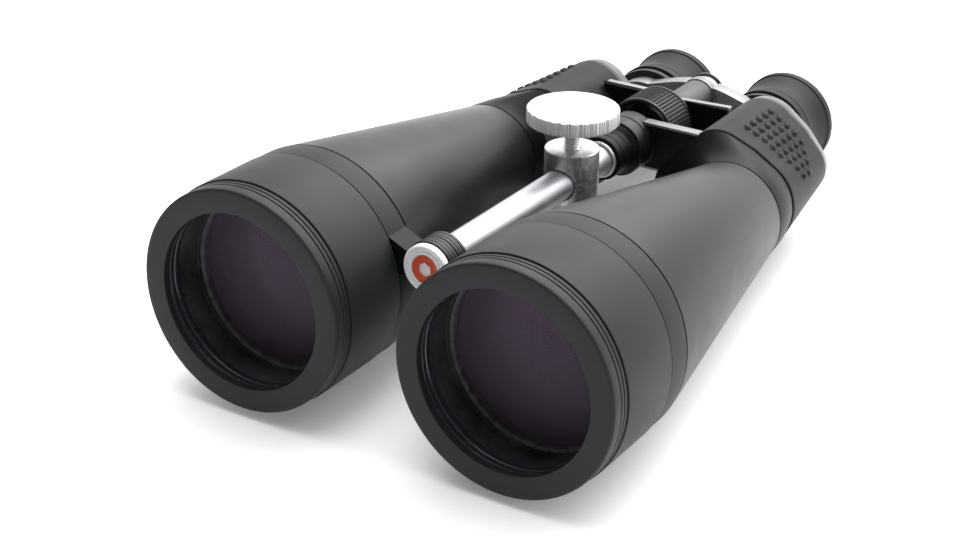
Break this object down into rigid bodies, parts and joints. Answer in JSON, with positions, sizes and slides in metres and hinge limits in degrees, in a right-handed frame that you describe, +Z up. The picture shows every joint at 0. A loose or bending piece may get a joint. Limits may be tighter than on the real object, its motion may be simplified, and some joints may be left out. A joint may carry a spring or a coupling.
{
  "type": "astronomy binoculars",
  "caption": "Large Porro-prism astronomy binoculars with long objective barrels, a folding hinge, a centre focus wheel and a tripod block on a central rod.",
  "frame": {"origin": "centre of the base rectangle under the hoods, midway along the length and between the two barrels", "axes": "+Y from the objectives to the eyepieces along the optical axes, +Z up, +X towards the left of an observer at the eyepieces, so the left barrel is at +X"},
  "size_m": [0.2294, 0.3282, 0.101],
  "materials": {
    "rubber": "matte black rubber armour with a fine grain",
    "black_paint": "satin black paint",
    "grey_paint": "satin grey metallic paint",
    "black_metal": "semi-gloss black anodised metal",
    "satin_aluminium": "satin turned aluminium",
    "bright_metal": "bright plated metal",
    "enamel": "plain red enamel",
    "coated_glass": "optical glass with a dark violet antireflection coating",
    "prism_glass": "clear optical glass"
  },
  "bodies": {
    "centre": {"hinge_sleeve": "black_paint", "rod_collar": "bright_metal", "hinge_pin": "bright_metal", "rear_hinge_bush": "bright_metal"},
    "rod": {"center_rod": "satin_aluminium", "end_cap": "bright_metal", "cap_ring": "enamel"},
    "tripod_mount": {"tripod_block": "satin_aluminium"},
    "clamp_screw": {"clamp_stud": "bright_metal"},
    "clamp_knob": {"clamp_knob": "satin_aluminium"},
    "focus_wheel": {"focus_wheel": "black_metal", "focus_grip": "rubber"},
    "bridge": {"bridge_hub": "grey_paint", "bridge_collar": "bright_metal", "bridge_cap": "black_metal", "focus_screw": "bright_metal"},
    "left_half": {"hood_left": "rubber", "lens_cell_left": "black_metal", "retaining_ring_left": "black_metal", "crown_element_left": "coated_glass", "flint_element_left": "coated_glass", "bracket_ring_left": "black_paint", "barrel_left": "rubber", "prism_housing_left": "grey_paint", "armor_left": "rubber", "rear_cover_left": "grey_paint", "prism_shelf_left": "black_metal", "rear_prism_left": "prism_glass", "front_prism_left": "prism_glass"},
    "right_half": {"hood_right": "rubber", "lens_cell_right": "black_metal", "retaining_ring_right": "black_metal", "crown_element_right": "coated_glass", "flint_element_right": "coated_glass", "bracket_ring_right": "black_paint", "barrel_right": "rubber", "prism_housing_right": "grey_paint", "armor_right": "rubber", "rear_cover_right": "grey_paint", "prism_shelf_right": "black_metal", "rear_prism_right": "prism_glass", "front_prism_right": "prism_glass"},
    "left_eyepiece": {"bridge_arm_left": "grey_paint", "eyepiece_tube_left": "black_metal", "eyepiece_ring_left": "black_paint", "ocular_barrel_left": "black_metal", "field_lens_left": "coated_glass", "eye_lens_left": "coated_glass", "eyecup_left": "rubber"},
    "right_eyepiece": {"bridge_arm_right": "grey_paint", "eyepiece_tube_right": "black_metal", "field_lens_right": "coated_glass"},
    "dioptre_ring": {"dioptre_ring": "black_paint"},
    "right_ocular": {"ocular_barrel_right": "black_metal", "eye_lens_right": "coated_glass", "eyecup_right": "rubber"}
  },
  "joints": [
    {"name": "fold_right", "type": "hinge", "parent": "centre", "child": "right_half", "pos_m": [0, 0, 0.0657], "axis": [0, 1, 0], "range_deg": [-10.4, 22.1]},
    {"name": "fold_left", "type": "hinge", "parent": "centre", "child": "left_half", "pos_m": [0, 0, 0.0657], "axis": [0, 1, 0], "range_deg": [-22.2, 10.5]},
    {"name": "mount_swing", "type": "hinge", "parent": "centre", "child": "rod", "pos_m": [0, 0, 0.0657], "axis": [0, 1, 0], "range_deg": [-5, 5]},
    {"name": "mount_slide", "type": "slide", "parent": "rod", "child": "tripod_mount", "axis": [0, 1, 0], "range_m": [-0.075, 0.0125]},
    {"name": "clamp_lift", "type": "slide", "parent": "tripod_mount", "child": "clamp_screw", "axis": [0, 0, 1], "range_m": [0, 0.00251]},
    {"name": "clamp_turn", "type": "hinge", "parent": "clamp_screw", "child": "clamp_knob", "pos_m": [0, -0.0017, 0.0962], "axis": [0, 0, 1], "range_deg": [0, 720]},
    {"name": "focus_turn", "type": "hinge", "parent": "centre", "child": "focus_wheel", "pos_m": [0, 0, 0.0657], "axis": [0, 1, 0], "range_deg": [-108.6, 360.6]},
    {"name": "bridge_slide", "type": "slide", "parent": "centre", "child": "bridge", "axis": [0, 1, 0], "range_m": [-0.0018, 0.006]},
    {"name": "eyepiece_slide_left", "type": "slide", "parent": "left_half", "child": "left_eyepiece", "axis": [0, 1, 0], "range_m": [-0.00181, 0.00601]},
    {"name": "eyepiece_slide_right", "type": "slide", "parent": "right_half", "child": "right_eyepiece", "axis": [0, 1, 0], "range_m": [-0.00181, 0.00601]},
    {"name": "dioptre_turn", "type": "hinge", "parent": "right_eyepiece", "child": "dioptre_ring", "pos_m": [-0.0317, 0.1344, 0.0481], "axis": [0, 1, 0], "range_deg": [-150, 150]},
    {"name": "dioptre_slide", "type": "slide", "parent": "right_eyepiece", "child": "right_ocular", "axis": [0, 1, 0], "range_m": [-0.00121, 0.00121]}
  ],
  "couplings": [
    {"joint": "fold_left", "follows": "fold_right", "ratio": -1},
    {"joint": "clamp_lift", "follows": "clamp_turn", "m_per_rad": 0.00019894},
    {"joint": "focus_turn", "follows": "bridge_slide", "rad_per_m": 1047.2},
    {"joint": "eyepiece_slide_left", "follows": "bridge_slide", "ratio": 1},
    {"joint": "eyepiece_slide_right", "follows": "bridge_slide", "ratio": 1},
    {"joint": "dioptre_slide", "follows": "dioptre_turn", "m_per_rad": 0.00045837}
  ]
}
